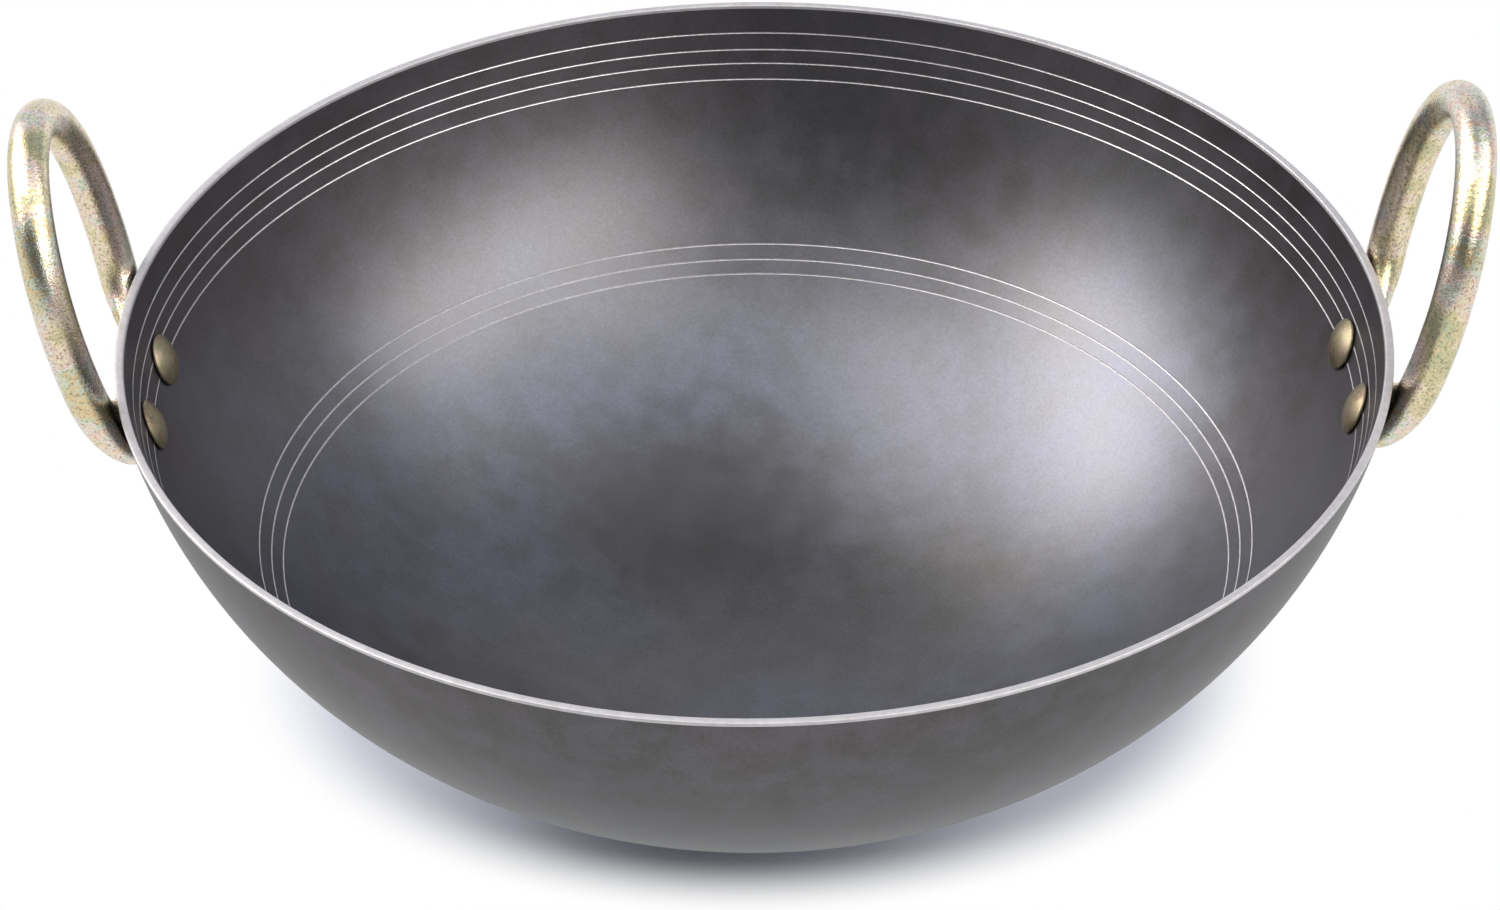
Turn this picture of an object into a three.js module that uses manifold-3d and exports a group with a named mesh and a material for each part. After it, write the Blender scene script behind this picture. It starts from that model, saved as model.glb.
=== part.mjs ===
// Iron kadai: a round-bottomed frying bowl of thick iron sheet with two forged loop handles,
// each held to the wall by two solid rivets through its flattened ends.
// Millimetres, +Z up, origin at the middle of the flat that the bowl stands on, handles along X.

import * as THREE from 'three';
import { mergeVertices } from 'three/addons/utils/BufferGeometryUtils.js';
import Module from 'manifold-3d';

const wasm = await Module();
wasm.setup();

// Bowl
const RIM_RADIUS = 150; // outer edge of the rim
const BOWL_HEIGHT = 106; // standing surface to the top of the rim
const WALL = 2; // thickness of the iron sheet
const BASE_RADIUS = 36; // flat that the bowl stands on
const CURVE_RISE = 29.5; // the wall's curve is centred this far above the rim
const CURVE_POWER = 2.09; // 2 is an ellipse, more is squarer
const RIM_BREAK = 0.35; // edges of the rim, filed off

// Rings scribed inside the bowl, by their drop below the rim
const UPPER_RING_DROPS = [7.3, 11.6, 15.1, 19.1];
const LOWER_RING_DROPS = [56.5, 59.6, 62.4];
const RING_WIDTH = 0.8;
const RING_DEPTH = 0.3;

// Rivets
const RIVET_DROP = 18.9; // middle of a rivet below the rim
const RIVET_SPACING = 27.4; // between the two rivets of a handle
const SHANK_RADIUS = 3;
const HEAD_RADIUS = 6.3; // domed head inside the bowl
const HEAD_HEIGHT = 2.6;
const TAIL_RADIUS = 5; // outside, hammered nearly flush
const TAIL_HEIGHT = 0.9;
const HEAD_EDGE = 0.5; // straight edge under each dome

// Handles
const ROD_RADIUS = 4.75;
const LOOP_HALF_WIDTH = 31.6; // both to the middle of the rod
const LOOP_HALF_HEIGHT = 38.2;
const LOOP_FOOT_SQUARENESS = 2.4; // lower half of the loop: 2 is an ellipse, more is squarer
const LOOP_TILT = THREE.MathUtils.degToRad(78); // from the horizontal, leaning out
const LOOP_FOOT_DROP = 16.5; // the loop's plane passes the rim's radius this far below the rim
const LUG_THICKNESS = 5; // the ends of the loop, forged flat for the rivets
const LUG_RADIUS = 8.2;
const LUG_SQUARENESS = 3; // section of a lug: 2 is an ellipse, more is squarer

// Clearances
const FIT_GAP = 0.3; // between pieces that lie on each other
const HOLE_CLEARANCE = 0.3; // around a rivet's shank

// Facets
const BOWL_SEGMENTS = 60;
const WALL_STEPS = 13;
const RIVET_SEGMENTS = 24;
const DOME_STEPS = 4;
const ROD_SIDES = 12;
const LOOP_STEPS = 48;
const LUG_STEPS = 4;

// Materials
const blackenedIron = new THREE.MeshStandardMaterial({ color: 0x4a484c, roughness: 0.5, metalness: 0.9 });
const yellowZinc = new THREE.MeshStandardMaterial({ color: 0xb5a878, roughness: 0.45, metalness: 0.9 });

// Solids

function toSolid(geometry) {
  const bare = geometry.clone();
  bare.deleteAttribute('normal');
  bare.deleteAttribute('uv');
  const merged = mergeVertices(bare);
  const corners = merged.index.array;
  const kept = [];
  for (let i = 0; i < corners.length; i += 3) {
    const [a, b, c] = corners.slice(i, i + 3);
    if (a !== b && b !== c && c !== a) kept.push(a, b, c);
  }
  const mesh = new wasm.Mesh({
    numProp: 3,
    vertProperties: new Float32Array(merged.attributes.position.array),
    triVerts: new Uint32Array(kept),
  });
  return new wasm.Manifold(mesh);
}

function toGeometry(solid) {
  const mesh = solid.getMesh();
  const geometry = new THREE.BufferGeometry();
  geometry.setAttribute('position', new THREE.BufferAttribute(mesh.vertProperties, 3));
  geometry.setIndex(new THREE.BufferAttribute(mesh.triVerts, 1));
  geometry.computeVertexNormals();
  return geometry;
}

// A profile of (radius, height) points, turned about Z
function turned(profile, segments) {
  return new THREE.LatheGeometry(profile, segments).rotateX(Math.PI / 2);
}

// Wall of the bowl

// (radius / wide)^power + (depth / deep)^power = 1, with depth measured down from the curve's centre,
// through the rim's outer edge and the edge of the base
const curveCentre = BOWL_HEIGHT + CURVE_RISE;
const rimRadiusPower = RIM_RADIUS ** CURVE_POWER;
const baseRadiusPower = BASE_RADIUS ** CURVE_POWER;
const rimDepthPower = CURVE_RISE ** CURVE_POWER;
const baseDepthPower = curveCentre ** CURVE_POWER;
const curveSpan = rimRadiusPower * baseDepthPower - baseRadiusPower * rimDepthPower;
const wide = (curveSpan / (baseDepthPower - rimDepthPower)) ** (1 / CURVE_POWER);
const deep = (curveSpan / (rimRadiusPower - baseRadiusPower)) ** (1 / CURVE_POWER);

// The wall at one angle of the curve, set off from the outer face (inwards if negative)
function wallAt(angle, offset) {
  const radius = wide * Math.cos(angle) ** (2 / CURVE_POWER);
  const depth = deep * Math.sin(angle) ** (2 / CURVE_POWER);
  const normal = new THREE.Vector2(
    radius ** (CURVE_POWER - 1) / wide ** CURVE_POWER,
    -(depth ** (CURVE_POWER - 1)) / deep ** CURVE_POWER,
  ).normalize();
  const point = new THREE.Vector2(radius, curveCentre - depth).addScaledVector(normal, offset);
  return { point, normal };
}

// The angle at which the offset wall reaches a height, by halving
function wallAngle(height, offset) {
  let high = 0;
  let low = Math.PI / 2;
  for (let i = 0; i < 50; i += 1) {
    const middle = (high + low) / 2;
    if (wallAt(middle, offset).point.y > height) high = middle;
    else low = middle;
  }
  return (high + low) / 2;
}

function wallPoints(fromHeight, toHeight, offset, steps) {
  const from = wallAngle(fromHeight, offset);
  const to = wallAngle(toHeight, offset);
  const points = [];
  for (let i = 0; i <= steps; i += 1) {
    points.push(wallAt(from + ((to - from) * i) / steps, offset).point);
  }
  return points;
}

// One scribed ring: a small V in the inner face
function ringPoints(drop) {
  const middle = wallAngle(BOWL_HEIGHT - drop, -WALL);
  const { point } = wallAt(middle, -WALL);
  const reach = RING_WIDTH / 2;
  const upper = wallAt(wallAngle(point.y + reach * Math.cos(middle), -WALL), -WALL).point;
  const lower = wallAt(wallAngle(point.y - reach * Math.cos(middle), -WALL), -WALL).point;
  return [upper, wallAt(middle, -WALL + RING_DEPTH).point, lower];
}

function makeBowl() {
  const outside = wallPoints(BOWL_HEIGHT - RIM_BREAK, 0, 0, WALL_STEPS).reverse();
  const innerEdge = wallAt(wallAngle(BOWL_HEIGHT, -WALL), -WALL).point;
  const rim = [
    new THREE.Vector2(RIM_RADIUS - RIM_BREAK, BOWL_HEIGHT),
    new THREE.Vector2(innerEdge.x + RIM_BREAK, BOWL_HEIGHT),
  ];
  const rings = [...UPPER_RING_DROPS, ...LOWER_RING_DROPS].map(ringPoints);
  const isClear = (point) => rings.every((ring) => Math.abs(point.y - ring[1].y) > RING_WIDTH);
  const inside = wallPoints(BOWL_HEIGHT - RIM_BREAK, WALL, -WALL, WALL_STEPS).filter(isClear);
  const scribed = [...inside, ...rings.flat()].sort((a, b) => b.y - a.y);
  const profile = [
    new THREE.Vector2(0, 0),
    ...outside,
    ...rim,
    ...scribed,
    new THREE.Vector2(0, WALL),
  ];
  return toSolid(turned(profile, BOWL_SEGMENTS));
}

// The space that the bowl fills, with the fitting gap around it
function makeBowlRoom() {
  const profile = [
    new THREE.Vector2(0, -FIT_GAP),
    ...wallPoints(BOWL_HEIGHT, 0, FIT_GAP, WALL_STEPS).reverse(),
    new THREE.Vector2(0, BOWL_HEIGHT),
  ];
  return toSolid(turned(profile, BOWL_SEGMENTS));
}

// Rivets

// Where a rivet's axis leaves the outer face of the wall, for the handle on +X; end is 1 or -1
function rivetPlace(end) {
  const { point, normal } = wallAt(wallAngle(BOWL_HEIGHT - RIVET_DROP, 0), 0);
  const turn = end * Math.asin(RIVET_SPACING / 2 / point.x);
  const up = new THREE.Vector3(0, 0, 1);
  return {
    position: new THREE.Vector3(point.x, 0, point.y).applyAxisAngle(up, turn),
    axis: new THREE.Vector3(normal.x, 0, normal.y).applyAxisAngle(up, turn),
  };
}

// Places a piece that was turned about Z so that Z lies along a rivet's axis
function alongRivet(geometry, place) {
  const turn = new THREE.Quaternion().setFromUnitVectors(new THREE.Vector3(0, 0, 1), place.axis);
  return geometry.applyQuaternion(turn).translate(...place.position);
}

// A domed head, from its edge to its top; way is 1 or -1 along the axis
function domePoints(radius, height, seat, way) {
  const rise = height - HEAD_EDGE;
  const sphere = (radius ** 2 + rise ** 2) / (2 * rise);
  const spread = Math.asin(radius / sphere);
  const points = [new THREE.Vector2(radius, seat)];
  for (let i = 0; i <= DOME_STEPS; i += 1) {
    const angle = spread * (1 - i / DOME_STEPS);
    const lift = HEAD_EDGE + rise - sphere * (1 - Math.cos(angle));
    points.push(new THREE.Vector2(sphere * Math.sin(angle), seat + way * lift));
  }
  points[points.length - 1].x = 0;
  return points;
}

function makeRivet(place) {
  // The inner face curves up towards the edge of the head
  const wallHollow = HEAD_RADIUS ** 2 / (2 * place.position.x);
  const headSeat = -WALL - FIT_GAP - wallHollow;
  const tailSeat = FIT_GAP + LUG_THICKNESS + FIT_GAP;
  const profile = [
    ...domePoints(HEAD_RADIUS, HEAD_HEIGHT, headSeat, -1).reverse(),
    new THREE.Vector2(SHANK_RADIUS, headSeat),
    new THREE.Vector2(SHANK_RADIUS, tailSeat),
    ...domePoints(TAIL_RADIUS, TAIL_HEIGHT, tailSeat, 1),
  ];
  return alongRivet(turned(profile, RIVET_SEGMENTS), place);
}

function makeRivetHole(place) {
  const radius = SHANK_RADIUS + HOLE_CLEARANCE;
  const reach = WALL + LUG_THICKNESS + HEAD_RADIUS;
  const profile = [
    new THREE.Vector2(0, -reach),
    new THREE.Vector2(radius, -reach),
    new THREE.Vector2(radius, reach),
    new THREE.Vector2(0, reach),
  ];
  return toSolid(alongRivet(turned(profile, RIVET_SEGMENTS), place));
}

// Handles

function signedPower(value, power) {
  return Math.sign(value) * Math.abs(value) ** power;
}

// Moves a point of the loop out or in until it is set off from the bowl's outer face
function onWall(point, offset) {
  const { x } = wallAt(wallAngle(point.z, offset), offset).point;
  return new THREE.Vector3(Math.sqrt(x ** 2 - point.y ** 2), point.y, point.z);
}

// Angle round the oval, from its crown, at which its lower half reaches a distance from its middle line
function lowerAngle(side) {
  return Math.PI - Math.asin((side / LOOP_HALF_WIDTH) ** (LOOP_FOOT_SQUARENESS / 2));
}

// Angles of the stations along the loop: from rivet to rivet over the crown, and round the end of each lug
function stationAngles() {
  const rivetSide = RIVET_SPACING / 2;
  const rivetAngle = lowerAngle(rivetSide);
  const angles = [];
  for (let i = 0; i <= LOOP_STEPS; i += 1) {
    angles.push(rivetAngle * ((2 * i) / LOOP_STEPS - 1));
  }
  for (let i = 1; i <= LUG_STEPS; i += 1) {
    const past = LUG_RADIUS * Math.sin(((Math.PI / 2) * i) / (LUG_STEPS + 0.5));
    angles.unshift(-lowerAngle(rivetSide - past));
    angles.push(lowerAngle(rivetSide - past));
  }
  return angles;
}

// Stations along the loop: an oval in a leaning plane, open at its foot, whose ends pass the rivets, lie on
// the wall and are forged flat there
function loopStations() {
  const along = new THREE.Vector3(Math.cos(LOOP_TILT), 0, Math.sin(LOOP_TILT));
  const loopNormal = new THREE.Vector3(Math.sin(LOOP_TILT), 0, -Math.cos(LOOP_TILT));
  const foot = new THREE.Vector3(RIM_RADIUS, 0, BOWL_HEIGHT - LOOP_FOOT_DROP);
  const rivetRise = (LOOP_FOOT_DROP - RIVET_DROP) / Math.sin(LOOP_TILT);
  const rivetShare = (RIVET_SPACING / 2 / LOOP_HALF_WIDTH) ** LOOP_FOOT_SQUARENESS;
  const rivetDepth = (1 - rivetShare) ** (1 / LOOP_FOOT_SQUARENESS); // as a share of the half height
  const middleRise = rivetRise + LOOP_HALF_HEIGHT * rivetDepth;
  const wallNormal = wallAt(wallAngle(BOWL_HEIGHT - RIVET_DROP, 0), 0).normal;
  return stationAngles().map((angle) => {
    const isLower = Math.cos(angle) < 0;
    const squareness = isLower ? LOOP_FOOT_SQUARENESS : 2;
    const rise = signedPower(Math.cos(angle), 2 / squareness);
    const flat = THREE.MathUtils.smoothstep(-rise, rivetDepth / 2, rivetDepth);
    const thick = THREE.MathUtils.lerp(ROD_RADIUS, LUG_THICKNESS / 2, flat);
    const point = foot.clone().addScaledVector(along, middleRise + LOOP_HALF_HEIGHT * rise);
    point.y = LOOP_HALF_WIDTH * signedPower(Math.sin(angle), 2 / squareness);
    const pastRivet = isLower ? Math.max(RIVET_SPACING / 2 - Math.abs(point.y), 0) : 0;
    const lugEnd = Math.sqrt(1 - (pastRivet / LUG_RADIUS) ** 2);
    if (flat > 0) point.lerp(onWall(point, FIT_GAP + thick), flat);
    const turn = Math.atan2(point.y, point.x);
    const lugNormal = new THREE.Vector3(wallNormal.x, 0, wallNormal.y);
    lugNormal.applyAxisAngle(new THREE.Vector3(0, 0, 1), turn);
    return {
      point,
      normal: loopNormal.clone().lerp(lugNormal, flat).normalize(),
      thick,
      wide: THREE.MathUtils.lerp(ROD_RADIUS, LUG_RADIUS, flat) * lugEnd,
      power: THREE.MathUtils.lerp(2, LUG_SQUARENESS, flat),
    };
  });
}

// A bar through stations, each with its own section, closed at both ends
function sweptBar(stations) {
  const positions = [];
  const index = [];
  const last = stations.length - 1;
  stations.forEach((station, i) => {
    const before = stations[Math.max(i - 1, 0)].point;
    const after = stations[Math.min(i + 1, last)].point;
    const tangent = after.clone().sub(before).normalize();
    const across = new THREE.Vector3().crossVectors(tangent, station.normal).normalize();
    const thick = new THREE.Vector3().crossVectors(across, tangent);
    for (let k = 0; k < ROD_SIDES; k += 1) {
      const angle = (2 * Math.PI * (k + 0.5)) / ROD_SIDES;
      const point = station.point.clone();
      point.addScaledVector(thick, station.thick * signedPower(Math.cos(angle), 2 / station.power));
      point.addScaledVector(across, station.wide * signedPower(Math.sin(angle), 2 / station.power));
      positions.push(...point);
    }
  });
  const corner = (ring, side) => ring * ROD_SIDES + (side % ROD_SIDES);
  for (let i = 0; i < last; i += 1) {
    for (let k = 0; k < ROD_SIDES; k += 1) {
      index.push(corner(i, k), corner(i, k + 1), corner(i + 1, k + 1));
      index.push(corner(i, k), corner(i + 1, k + 1), corner(i + 1, k));
    }
  }
  for (let k = 1; k < ROD_SIDES - 1; k += 1) {
    index.push(corner(0, 0), corner(0, k + 1), corner(0, k));
    index.push(corner(last, 0), corner(last, k), corner(last, k + 1));
  }
  const geometry = new THREE.BufferGeometry();
  geometry.setAttribute('position', new THREE.Float32BufferAttribute(positions, 3));
  geometry.setIndex(index);
  return geometry;
}

function makeHandle(holes, bowlRoom) {
  const bar = toSolid(sweptBar(loopStations()));
  return holes.reduce((solid, hole) => solid.subtract(hole), bar.subtract(bowlRoom));
}

// Assembly

function addMesh(parent, name, geometry, material) {
  const mesh = new THREE.Mesh(geometry, material);
  mesh.name = name;
  parent.add(mesh);
}

const rivetPlaces = [rivetPlace(1), rivetPlace(-1)];
const halfTurn = new THREE.Matrix4().makeRotationZ(Math.PI);
const rightHoles = rivetPlaces.map(makeRivetHole);
const leftHoles = rightHoles.map((hole) => hole.transform(halfTurn.elements));
const bowl = [...rightHoles, ...leftHoles].reduce((solid, hole) => solid.subtract(hole), makeBowl());
const handleGeometry = toGeometry(makeHandle(rightHoles, makeBowlRoom()));
const rivetGeometries = rivetPlaces.map((place) => toGeometry(toSolid(makeRivet(place))));

const kadai = new THREE.Group();
addMesh(kadai, 'bowl', toGeometry(bowl), blackenedIron);

// The left side is the right side turned half round
const sides = [
  { name: 'right', turn: 0, ends: ['back', 'front'] },
  { name: 'left', turn: Math.PI, ends: ['front', 'back'] },
];
for (const side of sides) {
  const group = new THREE.Group();
  group.rotation.z = side.turn;
  addMesh(group, `${side.name}_handle`, handleGeometry, yellowZinc);
  rivetGeometries.forEach((geometry, i) => {
    addMesh(group, `${side.name}_${side.ends[i]}_rivet`, geometry, yellowZinc);
  });
  kadai.add(group);
}

export default kadai;
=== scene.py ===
# %% [markdown]
# # An iron kadai
# A kadai is a deep, round-bottomed frying bowl. This one is a sheet of iron, pressed and spun to
# shape, with a rim that is ground bright, fine rings scribed inside, and two loops of plated rod
# riveted to its wall. The solids of the bowl, the loops and the rivets are loaded first. They
# are the frame: each piece below is modelled in its place, with more faces and a better finish,
# and then stands in for its solid.

# %% Load the frame
import math

import bpy
from mathutils import Matrix, Vector


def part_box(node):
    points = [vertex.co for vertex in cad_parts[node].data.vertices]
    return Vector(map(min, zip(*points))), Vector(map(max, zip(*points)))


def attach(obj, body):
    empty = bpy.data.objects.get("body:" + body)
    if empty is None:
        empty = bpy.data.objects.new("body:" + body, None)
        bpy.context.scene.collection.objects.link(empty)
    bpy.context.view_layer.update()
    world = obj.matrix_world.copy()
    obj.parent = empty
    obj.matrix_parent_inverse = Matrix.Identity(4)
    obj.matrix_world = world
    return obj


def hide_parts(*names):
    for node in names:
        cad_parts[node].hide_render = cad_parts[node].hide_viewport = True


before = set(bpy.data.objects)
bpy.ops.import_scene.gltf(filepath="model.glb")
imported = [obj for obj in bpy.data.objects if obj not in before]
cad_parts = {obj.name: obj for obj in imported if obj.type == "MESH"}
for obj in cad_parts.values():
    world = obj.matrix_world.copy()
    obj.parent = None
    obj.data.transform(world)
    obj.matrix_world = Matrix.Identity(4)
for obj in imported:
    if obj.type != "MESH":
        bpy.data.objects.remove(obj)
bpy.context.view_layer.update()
bowl_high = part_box("bowl")[1]
MM = 0.001


def in_mm(vector):
    return [round(side / MM, 1) for side in vector]


print("nodes:", sorted(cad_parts))

# %% [markdown]
# The wall of the bowl follows one smooth curve, a superellipse: like an ellipse, but with a
# power of its own in place of 2. It could be drawn by eye with a Bezier curve, but a formula has
# two gains here. It passes exactly through the rim and the edge of the flat base, and it gives
# the wall's normal, which says where the inner face lies and which way a rivet points.

# %% The curve of the wall
RIM_RADIUS = 150 * MM
BOWL_HEIGHT = bowl_high.z
WALL = 2 * MM
BASE_RADIUS = 36 * MM
CURVE_RISE = 29.5 * MM
CURVE_POWER = 2.09
HALVINGS = 50

curve_centre = BOWL_HEIGHT + CURVE_RISE
rim_power, base_power = RIM_RADIUS**CURVE_POWER, BASE_RADIUS**CURVE_POWER
rise_power, depth_power = CURVE_RISE**CURVE_POWER, curve_centre**CURVE_POWER
span = rim_power * depth_power - base_power * rise_power
wide = (span / (depth_power - rise_power)) ** (1 / CURVE_POWER)
deep = (span / (rim_power - base_power)) ** (1 / CURVE_POWER)


def wall_at(angle, offset):
    """Point and outward normal (radius, height) of the wall, set off from its outer face."""
    radius = wide * math.cos(angle) ** (2 / CURVE_POWER)
    depth = deep * math.sin(angle) ** (2 / CURVE_POWER)
    normal = Vector((
        radius ** (CURVE_POWER - 1) / wide**CURVE_POWER,
        -(depth ** (CURVE_POWER - 1)) / deep**CURVE_POWER,
    )).normalized()
    return Vector((radius, curve_centre - depth)) + offset * normal, normal


def wall_angle(height, offset):
    """Angle at which the offset wall reaches a height, found by halving."""
    high, low = 0.0, math.pi / 2
    for _ in range(HALVINGS):
        middle = (high + low) / 2
        if wall_at(middle, offset)[0].y > height:
            high = middle
        else:
            low = middle
    return middle


def wall_run(top, bottom, offset, steps):
    """Points down the offset wall from one height to another."""
    first, last = wall_angle(top, offset), wall_angle(bottom, offset)
    return [wall_at(first + (last - first) * i / steps, offset)[0] for i in range(steps + 1)]


print("curve in mm: half width", round(wide / MM, 1), "depth", round(deep / MM, 1))

# %% [markdown]
# A turned shape is easiest to make as on a lathe: draw half of its section, then spin it round
# the axis. The section starts as one vertex, which is extruded from point to point. After the
# spin, the first and last copies lie on each other, and so do all copies of a point on the axis,
# so doubles are merged and the normals are then made to face outwards.

# %% A lathe
MERGE_DISTANCE = 0.002 * MM


def deselect_all():
    if bpy.context.mode != "OBJECT":
        bpy.ops.object.mode_set(mode="OBJECT")
    bpy.ops.object.select_all(action="DESELECT")


def lathe(name, section, steps):
    """Spins a section of (radius, height) points round Z."""
    deselect_all()
    start = (section[0].x, 0, section[0].y)
    bpy.ops.mesh.primitive_plane_add(size=MM, location=start)
    piece = bpy.context.object
    piece.name = piece.data.name = name
    bpy.ops.object.transform_apply()
    bpy.ops.object.mode_set(mode="EDIT")
    bpy.ops.mesh.merge(type="CENTER")
    for here, there in zip(section, section[1:]):
        step = (there.x - here.x, 0, there.y - here.y)
        bpy.ops.mesh.extrude_region_move(TRANSFORM_OT_translate={"value": step})
    bpy.ops.mesh.select_all(action="SELECT")
    bpy.ops.mesh.spin(steps=steps, angle=math.tau, center=(0, 0, 0), axis=(0, 0, 1))
    bpy.ops.mesh.select_all(action="SELECT")
    bpy.ops.mesh.remove_doubles(threshold=MERGE_DISTANCE)
    bpy.ops.mesh.normals_make_consistent(inside=False)
    bpy.ops.object.mode_set(mode="OBJECT")
    return piece


# %% [markdown]
# The bowl's section runs from the middle of the base out along the underside, up the outer face,
# over the rim and down the inner face to the middle of the floor. The scribed rings are part of
# it: each is a small V cut into the inner face, so it catches the light as the real scratch
# does. The edges of the rim are rounded by a few points on a quarter circle. Inside, the wall
# runs out into the floor without a crease: near the middle the height is a power of the radius,
# chosen to meet the wall at its own slope.

# %% The bowl
UPPER_RING_DROPS = [7.3 * MM, 11.6 * MM, 15.1 * MM, 19.1 * MM]
LOWER_RING_DROPS = [56.5 * MM, 59.6 * MM, 62.4 * MM]
RING_WIDTH = 0.46 * MM
RING_DEPTH = 0.08 * MM
RIM_ROUND = 0.45 * MM
DISH_RADIUS = 56 * MM
DISH_STEPS = 14
ROUND_STEPS = 4
WALL_STEPS = 40
BOWL_STEPS = 240


def ring_points(drop):
    """The V of one scribed ring: its upper edge, its bottom and its lower edge."""
    middle = wall_angle(BOWL_HEIGHT - drop, -WALL)
    point, normal = wall_at(middle, -WALL)
    along = Vector((normal.y, -normal.x)) * RING_WIDTH / 2
    return [point - along, point + RING_DEPTH * normal, point + along]


round_height = BOWL_HEIGHT - RIM_ROUND
outer_round = wall_at(wall_angle(round_height, 0), 0)[0] - Vector((RIM_ROUND, 0))
inner_round = wall_at(wall_angle(round_height, -WALL), -WALL)[0] + Vector((RIM_ROUND, 0))
turns = [math.pi / 2 * i / ROUND_STEPS for i in range(ROUND_STEPS + 1)]
rim = [outer_round + RIM_ROUND * Vector((math.cos(turn), math.sin(turn))) for turn in turns]
rim += [inner_round + RIM_ROUND * Vector((-math.sin(turn), math.cos(turn))) for turn in turns]
rings = [ring_points(drop) for drop in UPPER_RING_DROPS + LOWER_RING_DROPS]
below_rim = BOWL_HEIGHT - 2 * RIM_ROUND
inside = [
    point
    for point in wall_run(below_rim, WALL, -WALL, WALL_STEPS)
    if point.x > DISH_RADIUS and all(abs(point.y - ring[1].y) > RING_WIDTH for ring in rings)
]
dish_edge = inside[-1]
edge_normal = wall_at(wall_angle(dish_edge.y, -WALL), -WALL)[1]
dish_rise = dish_edge.y - WALL
dish_power = -edge_normal.x / edge_normal.y * dish_edge.x / dish_rise
dish_shares = [1 - i / DISH_STEPS for i in range(1, DISH_STEPS + 1)]
dish = [
    Vector((dish_edge.x * share, WALL + dish_rise * share**dish_power)) for share in dish_shares
]
inside = sorted(inside + sum(rings, []), key=lambda point: -point.y)
outside = wall_run(below_rim, 0, 0, WALL_STEPS)[::-1]
bowl_section = [Vector((0, 0))] + outside + rim + inside + dish
bowl = lathe("iron_bowl", bowl_section, BOWL_STEPS)
print("bowl:", len(bowl.data.polygons), "faces")

# %% [markdown]
# A rivet has a low domed head inside the bowl, a shank through the wall and the handle, and a
# smaller head outside that was hammered nearly flush. Its sizes come first. Heights along it are
# measured from the outer face of the wall, with a small gap wherever two pieces meet.

# %% Sizes of a rivet
RIVET_DROP = 18.9 * MM
RIVET_SPACING = 27.4 * MM
SHANK_RADIUS = 3 * MM
HEAD_RADIUS, HEAD_HEIGHT = 6.3 * MM, 2.6 * MM
TAIL_RADIUS, TAIL_HEIGHT = 5 * MM, 0.9 * MM
HEAD_EDGE = 0.5 * MM
FIT_GAP = 0.3 * MM
LUG_THICKNESS = 5 * MM

wall_point, wall_normal = wall_at(wall_angle(BOWL_HEIGHT - RIVET_DROP, 0), 0)
head_seat = -WALL - FIT_GAP - HEAD_RADIUS**2 / (2 * wall_point.x)
tail_seat = FIT_GAP + LUG_THICKNESS + FIT_GAP
dome_rise = HEAD_HEIGHT - HEAD_EDGE
ball_radius = (HEAD_RADIUS**2 + dome_rise**2) / (2 * dome_rise)
dome_top = head_seat - HEAD_HEIGHT
print("rivet seats in mm:", in_mm((head_seat, tail_seat)))

# %% [markdown]
# The rivet is modelled once, standing on Z, from a ball: a bisect keeps only the cap of the dome,
# and its flat face is then extruded, inset and extruded again to make the shank and the outer
# head. A bevel at the end takes the sharpness off the edges.

# %% One rivet
RIVET_SIDES, BALL_RINGS, TAIL_STEPS = 48, 64, 4
EDGE_BEVEL, BEVEL_STEPS, BEVEL_ANGLE = 0.2 * MM, 3, math.radians(40)


def extrude_up(height):
    bpy.ops.mesh.extrude_region_move(TRANSFORM_OT_translate={"value": (0, 0, height)})


def widen(factor, height):
    bpy.ops.transform.resize(value=(factor, factor, 1), center_override=(0, 0, height))


deselect_all()
bpy.ops.mesh.primitive_uv_sphere_add(
    segments=RIVET_SIDES,
    ring_count=BALL_RINGS,
    radius=ball_radius,
    location=(0, 0, dome_top + ball_radius),
)
rivet = bpy.context.object
rivet.name = rivet.data.name = "rivet"
bpy.ops.object.transform_apply()
bpy.ops.object.mode_set(mode="EDIT")
bpy.ops.mesh.select_all(action="SELECT")
bpy.ops.mesh.bisect(
    plane_co=(0, 0, dome_top + dome_rise), plane_no=(0, 0, 1), use_fill=True, clear_outer=True
)
extrude_up(HEAD_EDGE)
extrude_up(0)
widen(SHANK_RADIUS / HEAD_RADIUS, head_seat)
extrude_up(tail_seat - head_seat)
extrude_up(0)
widen(TAIL_RADIUS / SHANK_RADIUS, tail_seat)
extrude_up(HEAD_EDGE)
height, radius = tail_seat + HEAD_EDGE, TAIL_RADIUS
for i in range(1, TAIL_STEPS):
    turn = math.pi / 2 * i / TAIL_STEPS
    next_height = tail_seat + HEAD_EDGE + (TAIL_HEIGHT - HEAD_EDGE) * math.sin(turn)
    extrude_up(next_height - height)
    widen(TAIL_RADIUS * math.cos(turn) / radius, next_height)
    height, radius = next_height, TAIL_RADIUS * math.cos(turn)
bpy.ops.mesh.select_all(action="SELECT")
bpy.ops.mesh.normals_make_consistent(inside=False)
bpy.ops.object.mode_set(mode="OBJECT")
edge_bevel = rivet.modifiers.new("edges", "BEVEL")
edge_bevel.width = EDGE_BEVEL
edge_bevel.segments = BEVEL_STEPS
edge_bevel.limit_method = "ANGLE"
edge_bevel.angle_limit = BEVEL_ANGLE
bpy.ops.object.modifier_apply(modifier=edge_bevel.name)
print("rivet:", len(rivet.data.polygons), "faces, size in mm", in_mm(rivet.dimensions))

# %% [markdown]
# The handle was bent from round rod into an oval that is open at its foot, with a squarer lower
# half. The oval is a formula again, as the wall was. It lies flat: X is the way up the loop, and
# Z is its outer side. The formula gives a list of places along the rod, from one end to the
# other, and the heading of the rod at each. They lie closer together at the ends.

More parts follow.
